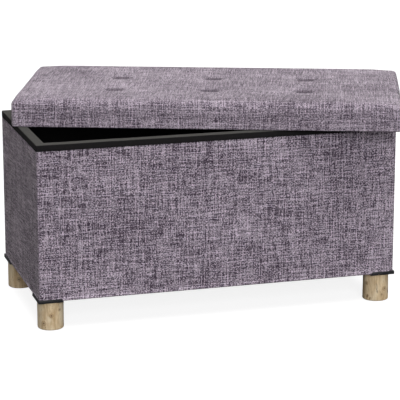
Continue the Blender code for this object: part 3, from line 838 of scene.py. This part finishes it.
def lid_uv(sharp, top_faces, outline, down):
    """Cloth coordinates: the top's own place, and the side laid flat beyond its edges."""
    corner_uv = [tuple(sharp[v, :2]) for face in top_faces for v in face]
    ways = ((0, -1), (1, 0), (0, 1), (-1, 0))
    for row in range(len(down) - 1):
        for c, side in enumerate(outline.sides):
            for column, line in ((c, row), (c + 1, row), (c + 1, row + 1), (c, row + 1)):
                x, y = outline.points[column % len(outline.points)]
                corner_uv.append((x + ways[side][0] * down[line], y + ways[side][1] * down[line]))
    return corner_uv


def make_cushion():
    """The padded lid: one skin over the pad, down the side, under the skirt and up its inside."""
    roll, wrap = skirt_profile()
    outline = lid_outline()
    heights = [LID_SIDE - d for d in outline.near] + spread(roll, LID_SIDE - 1.3 * LID_CORNER, 0.005)[::-1]
    sharp, cut, is_top, rise = cut_top(outline, heights)
    top_faces, side_faces = cut_faces(outline, len(heights))
    skin = swell(cut, top_faces + side_faces, is_top, rise)
    count = len(outline.points)
    skirt_faces = strip_faces(len(wrap) + 1, count, start=len(skin) - count)
    points = np.concatenate([skin] + outline.rings(wrap))
    cushion = new_object("lid_cushion", points, top_faces + side_faces + skirt_faces)
    down = walked([(0.0, z) for z in (LID_SIDE, *heights)] + wrap)
    set_uv(cushion, lid_uv(sharp, top_faces, outline, down))
    smooth = cushion.modifiers.new("smooth", "SUBSURF")
    smooth.levels = smooth.render_levels = 1
    apply_modifiers(cushion)
    edit_mesh(cushion, close_open_edge)
    cushion.data.transform(LID_PLACE)
    # the lid's weave is lifted lighter than the box's: painted light standing in for more light on the lid
    weave = weave_material("lid_weave", 41.0, painted_crease_shading=True, contrast=0.60, painted_light_lift=0.12)
    finish_piece(cushion, weave, "lid", "lid_woven_cover", "lid_cover", "lid_foam")


def make_lid_lining():
    """Black non-woven sheet stapled under the lid board, rippling a little between its edges."""
    turned = LID_PLACE.inverted()
    local = np.array([turned @ v.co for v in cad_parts["lid_lining"].data.vertices])
    half = np.abs(local[:, :2]).max(axis=0)
    xs, ys = (spread(-reach, reach, 0.008) for reach in half)
    under = np.array([(x, y, local[:, 2].min()) for x in xs for y in ys])
    edge_x, edge_y = (1 - np.abs(under[:, :2]) / half).T
    edge = np.minimum(edge_x, edge_y / 2)
    sag = np.clip(edge * 14, 0, 1) * (0.5 + 0.5 * lattice_noise(under, 0.055, 6.0))
    staples = np.cos(2 * math.pi * (under[:, 0] + under[:, 1]) / 0.042)
    sag += np.clip(1 - edge * 30, 0, 1) * (0.5 + 0.5 * staples)
    under[:, 2] -= 0.0007 * sag
    over = under + (0.0, 0.0, 0.0006)
    count, rows, columns = len(under), len(xs), len(ys)
    faces = strip_faces(rows, columns, close_columns=False)
    faces += [tuple(i + count for i in face[::-1]) for face in faces]
    far = (rows - 1) * columns
    rim = [(i, i + columns) for i in range(0, far, columns)]
    rim += [(i + 2 * columns - 1, i + columns - 1) for i in range(0, far, columns)]
    rim += [(j + 1, j) for j in range(columns - 1)] + [(far + j, far + j + 1) for j in range(columns - 1)]
    faces += [(a, b, b + count, a + count) for a, b in rim]
    sheet = new_object("lid_underlay", np.concatenate((under, over)), faces)
    face_out(sheet)
    sheet.data.transform(LID_PLACE)
    finish_piece(sheet, felt_material("underlay_felt", UNDERSIDE), "lid", "lid_lining", "lid_lining")


def make_bottom_sheet():
    """Black non-woven sheet under the box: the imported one, rippling a little."""
    low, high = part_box("bottom_lining")
    centre, half = (low + high) / 2, (high - low) / 2

    def ripple(edit):
        """Cut the sheet into small squares, and let its middle hang a little."""
        for axis in (0, 1):
            normal = Vector((1.0 - axis, axis, 0.0))
            for value in spread(low[axis], high[axis], 0.016)[1:-1]:
                bmesh.ops.bisect_plane(edit, geom=list(edit.verts) + list(edit.edges) + list(edit.faces),
                                       plane_co=normal * value, plane_no=normal)
        for vert in edit.verts:
            away = max(abs(vert.co.x - centre.x) / half.x, abs(vert.co.y - centre.y) / half.y)
            place = vert.co / 0.06
            wave = 0.5 + 0.5 * math.sin(place.x * 2.1 + 1.3 * math.sin(place.y * 1.7))
            vert.co.z -= 0.0008 * wave * min(1.0, max(0.0, (0.97 - away) * 12))

    sheet = copy_node("bottom_lining", "bottom_sheet")
    edit_mesh(sheet, ripple)
    face_out(sheet, 40)
    finish_piece(sheet, felt_material("bottom_felt", UNDERSIDE), "box", "bottom_lining", "bottom_lining")


# ---- the tufts' twine ----

def circle(sides):
    """Points round a circle of radius 1."""
    angle = np.arange(sides) * 2 * math.pi / sides
    return np.column_stack((np.cos(angle), np.sin(angle)))


def tube(path, radius, sides=6):
    """Points and faces of a closed tube along a path, with its ends capped."""
    ahead = np.gradient(path, axis=0)
    ahead /= np.linalg.norm(ahead, axis=1, keepdims=True)
    side = np.cross(ahead, (0.0, 0.0, 1.0))
    weak = np.linalg.norm(side, axis=1) < 0.2
    side[weak] = np.cross(ahead[weak], (1.0, 0.0, 0.0))
    side /= np.linalg.norm(side, axis=1, keepdims=True)
    up = np.cross(side, ahead)
    cos, sin = circle(sides).T
    ring = cos[None, :, None] * side[:, None, :] + sin[None, :, None] * up[:, None, :]
    points = (path[:, None, :] + radius * ring).reshape(-1, 3)
    return points, strip_faces(len(path), sides) + end_caps(len(path), sides)


def lathe(profile, centre, sides):
    """Points and faces of a body turned from a profile of (radius, height)."""
    rings = [np.column_stack((circle(sides) * r + centre, np.full(sides, z))) for r, z in profile]
    return np.concatenate(rings), strip_faces(len(profile), sides) + end_caps(len(profile), sides)


def merge(parts):
    """Several closed shells as one list of points and one of faces."""
    points, faces, start = [], [], 0
    for some, theirs in parts:
        points.append(some)
        faces += [tuple(i + start for i in face) for face in theirs]
        start += len(some)
    return np.concatenate(points), faces


def helix(spot, reach_x, reach_y, turned, levels):
    """A path round a tuft's axis, through angles and heights."""
    return np.column_stack((spot.x + reach_x * np.cos(turned), spot.y + reach_y * np.sin(turned), levels))


def make_tufts():
    """Blind tufts: two twisted strands from a knot behind the cover down to a washer under the board."""
    twine = twine_material("tuft_twine")
    washer, strand, lay = 0.0012, 0.00068, 0.0075
    top = LID_LOW.z + LID_SIDE + CROWN + EDGE_BOW - DIMPLE - SLIT - 0.0014
    for number in TUFTS:
        low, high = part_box(f"lid_tuft_{number}")
        spot = (low + high) / 2
        levels = np.linspace(low.z + washer, top - 0.0035, 60)
        parts = []
        for phase in (0.0, math.pi):
            twist = helix(spot, strand, strand, 2 * math.pi * levels / lay + phase, levels)
            parts.append(tube(twist, strand * 0.95))
        knot_levels = np.linspace(top - 0.0036, top - 0.0008, 40)
        knot = helix(spot, 0.0016, 0.0012, np.linspace(0, 4 * math.pi, 40), knot_levels)
        parts.append(tube(knot, 0.00085))
        rim, base = min((high.x - low.x) / 2, 0.0065), low.z + 0.0001
        disc = [(0.0002, base), (rim - 0.0004, base), (rim, base + 0.0004), (rim, base + washer - 0.0005),
                (rim - 0.0004, base + washer), (0.0030, base + washer), (0.0024, base + washer - 0.0003),
                (0.0002, base + washer - 0.0003)]
        parts.append(lathe(disc, (spot.x, spot.y), 24))
        tuft = new_object(f"tuft_{number}", *merge(parts))
        face_out(tuft, 55)
        finish_piece(tuft, twine, "lid", "tuft_twine", f"lid_tuft_{number}")


# ---- shoes, logs and the hard pieces ----

def mould(edit):
    """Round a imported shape's sharp edges, as a mould does."""
    bmesh.ops.dissolve_limit(edit, angle_limit=math.radians(2), verts=edit.verts, edges=edit.edges)
    sharp = [e for e in edit.edges if len(e.link_faces) == 2 and e.calc_face_angle(0.0) > math.radians(25)]
    bmesh.ops.bevel(edit, geom=sharp, offset=0.00045, segments=2, profile=0.5, affect="EDGES",
                    clamp_overlap=True)


def make_shoes():
    """Corner shoes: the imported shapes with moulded, rounded edges."""
    plastic = plastic_material("shoe_plastic")
    for corner in ("front_left", "front_right", "back_left", "back_right"):
        shoe = copy_node(f"corner_shoe_{corner}", f"shoe_{corner}")
        edit_mesh(shoe, mould)
        face_out(shoe, 38)
        finish_piece(shoe, plastic, "box", "shoe_plastic", f"corner_shoe_{corner}")


def make_log(corner, seed, knots):
    """A debarked log foot: not quite round, with knots and a worn lower edge, bored for its bolt."""
    low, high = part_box(f"leg_{corner}")
    bolt_low, bolt_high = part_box(f"leg_bolt_{corner}")
    centre = ((low.x + high.x) / 2, (low.y + high.y) / 2)
    radius = min(high.x - low.x, high.y - low.y) / 2
    hole = (bolt_high.x - bolt_low.x) / 2 + 0.0003
    bottom = bolt_low.z - 0.0004
    worn, levels, core, top_edge, sides = 0.0022, 40, 0.0006, 0.0006, 96
    around, axis = circle(sides), np.array((*centre, 0.0))
    angle = np.arange(sides) * 2 * math.pi / sides

    def ring(reach, z):
        """Points round the axis, as far out as a reach, at one height."""
        reach = np.broadcast_to(reach, sides)[:, None]
        return np.column_stack((around * reach + centre, np.full(sides, z)))

    def skin(z, inset=0.0, at=None):
        """The log's surface at one height, pulled in by an inset, and set at another height if given."""
        swell = 0.0010 * (lattice_noise(ring(radius, z * 0.25) - axis, 0.030, seed) - 0.9)
        ridge = 0.00022 * lattice_noise(ring(radius, z * 0.10) - axis, 0.0035, seed + 5)
        bump = np.zeros(sides)
        for turn, height, size, tall in knots:
            gap = (angle - math.radians(turn) + math.pi) % (2 * math.pi) - math.pi
            away = np.hypot(gap * radius / size, (z - low.z - height) / size)
            bump += tall * np.exp(-away ** 2) * (1 - 0.9 * np.exp(-(away / 0.38) ** 2))
        reach = np.minimum(radius + swell + ridge + bump, radius + 0.0004) - inset
        return ring(reach, z if at is None else at)

    rings = [ring(core, low.z)]
    rings += [skin(low.z + worn, worn + radius * (1 - share), at=low.z) for share in (0.25, 0.5, 0.75)]
    for step in range(4):
        tilt = math.radians(90 * step / 4)
        rings.append(skin(low.z + worn * (1 - math.cos(tilt)), worn * (1 - math.sin(tilt))))
    tall = high.z - low.z - worn - top_edge
    rings += [skin(low.z + worn + tall * i / levels) for i in range(levels + 1)]
    rings += [skin(high.z, top_edge), ring(radius * 0.6, high.z), ring(hole, high.z)]
    rings += [ring(hole, bottom), ring(core, bottom)]
    faces = strip_faces(len(rings), sides) + end_caps(len(rings), sides)
    log = new_object(f"log_{corner}", np.concatenate(rings), faces)
    face_out(log, 50)
    wood = log_material(f"log_{corner}", seed, centre, low.z, knots, radius)
    finish_piece(log, wood, "box", "log", f"leg_{corner}")


def make_logs():
    """The four feet; each knot is (turn in degrees, height, size, how far it stands out)."""
    make_log("front_left", 3.0, ((228, 0.014, 0.0050, 0.0016), (262, 0.030, 0.0042, 0.0012),
                                 (300, 0.040, 0.0034, 0.0009), (70, 0.025, 0.0050, 0.0014)))
    make_log("front_right", 8.0, ((292, 0.026, 0.0046, 0.0014), (205, 0.036, 0.0040, 0.0011),
                                  (120, 0.018, 0.0050, 0.0014)))
    make_log("back_left", 13.0, ((100, 0.030, 0.0050, 0.0015), (250, 0.020, 0.0044, 0.0012)))
    make_log("back_right", 19.0, ((60, 0.022, 0.0048, 0.0014), (170, 0.038, 0.0040, 0.0011)))


def dress_hard_pieces():
    """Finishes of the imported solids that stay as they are."""
    wall = board_material("wall_board", (0.56, 0.43, 0.28), (0.34, 0.235, 0.135))
    lid = board_material("lid_board", (0.52, 0.40, 0.26), (0.30, 0.205, 0.12))
    beech = board_material("dowel_beech", (0.66, 0.49, 0.32), (0.50, 0.34, 0.19), (230.0, 230.0, 60.0))
    steel = steel_material("zinc_steel")
    finishes = (("dowel", beech), ("bolt", steel), ("insert", steel), ("screw", steel), ("lid_board", lid),
                ("lid_rail", lid), ("board", wall))
    for name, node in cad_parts.items():
        finish = next((material for word, material in finishes if word in name), None)
        if finish is not None:
            dress(node, finish)
            node.data.set_sharp_from_angle(angle=math.radians(35))


# ---- stage, light and camera ----

WORLD_LIGHT = 0.166                  # how strongly it lights the bench
WORLD_TINT = (1.06, 0.98, 0.95)      # the surround's colour as a light
CAMERA_AZIMUTH = math.radians(16.45)
CAMERA_TILT = math.radians(14.2)
CAMERA_LENS, CAMERA_SENSOR = 173.3, 36.0
CAMERA_PLACE = Vector((-1.063, -3.628, 1.094))      # from the box's middle, at the foot of its corner shoes


def make_stage():
    """A plain white floor, lit through from below like a photographer's table."""
    half, below = 40.0, -0.0004
    points = [(x, y, below) for y in (-half, half) for x in (-half, half)]
    floor = new_object("floor", points, [(0, 1, 3, 2)])
    g = Material("floor_paint")
    seen = g.add("LightPath").outputs["Is Camera Ray"]
    grey = g.mix(seen, (0.12, 0.12, 0.12), (0.36, 0.36, 0.36))
    g.set(Base_Color=grey, Roughness=0.9, Specular_IOR_Level=0.0, Emission_Color=(1.0, 1.0, 1.0),
          Emission_Strength=g.times(seen, 0.85))
    dress(floor, g.material)


def make_sun(name, azimuth, elevation, strength, spread_angle, colour=(1.0, 1.0, 1.0)):
    """An even soft light from far away; azimuth 0 shines from the front, and positive ones from the right."""
    data = bpy.data.lights.new(name, "SUN")
    data.energy, data.angle, data.color = strength, math.radians(spread_angle), colour
    lamp = bpy.data.objects.new(name, data)
    lamp.rotation_euler = (math.radians(90.0 - elevation), 0.0, math.radians(azimuth))
    bpy.context.scene.collection.objects.link(lamp)


def make_world():
    """An even white surround: bright to the eye, and softer as a light."""
    world = bpy.data.worlds.new("studio")
    g = Graph(world, "Background")
    seen = g.add("LightPath").outputs["Is Camera Ray"]
    strength = g.math("MULTIPLY_ADD", seen, 1.0 - WORLD_LIGHT, WORLD_LIGHT)
    g.set(Color=g.mix(seen, WORLD_TINT, (1.0, 1.0, 1.0)), Strength=strength)
    bpy.context.scene.world = world


def make_camera():
    """A long lens a little above the lid, from the front left."""
    data = bpy.data.cameras.new("camera")
    data.lens, data.sensor_width, data.sensor_fit = CAMERA_LENS, CAMERA_SENSOR, "HORIZONTAL"
    camera = bpy.data.objects.new("camera", data)
    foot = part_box("corner_shoe_front_left")[0].z
    camera.location = CAMERA_PLACE + Vector((BOX_CENTRE.x, BOX_CENTRE.y, foot))
    camera.rotation_euler = (math.pi / 2 - CAMERA_TILT, 0.0, -CAMERA_AZIMUTH)
    bpy.context.scene.collection.objects.link(camera)
    bpy.context.scene.camera = camera


make_box_cover()
make_binding()
make_liner()
make_cushion()
make_lid_lining()
make_bottom_sheet()
make_tufts()
make_shoes()
make_logs()
dress_hard_pieces()
make_stage()
make_world()
make_sun("overhead", 24.0, 79.0, 1.78, 44.0)
make_sun("front_fill", -7.0, 22.0, 1.48, 30.0, (0.98, 0.98, 1.02))
make_sun("back_fill", 178.0, 18.0, 0.55, 60.0)
make_camera()
bpy.context.scene.view_settings.view_transform = "Standard"
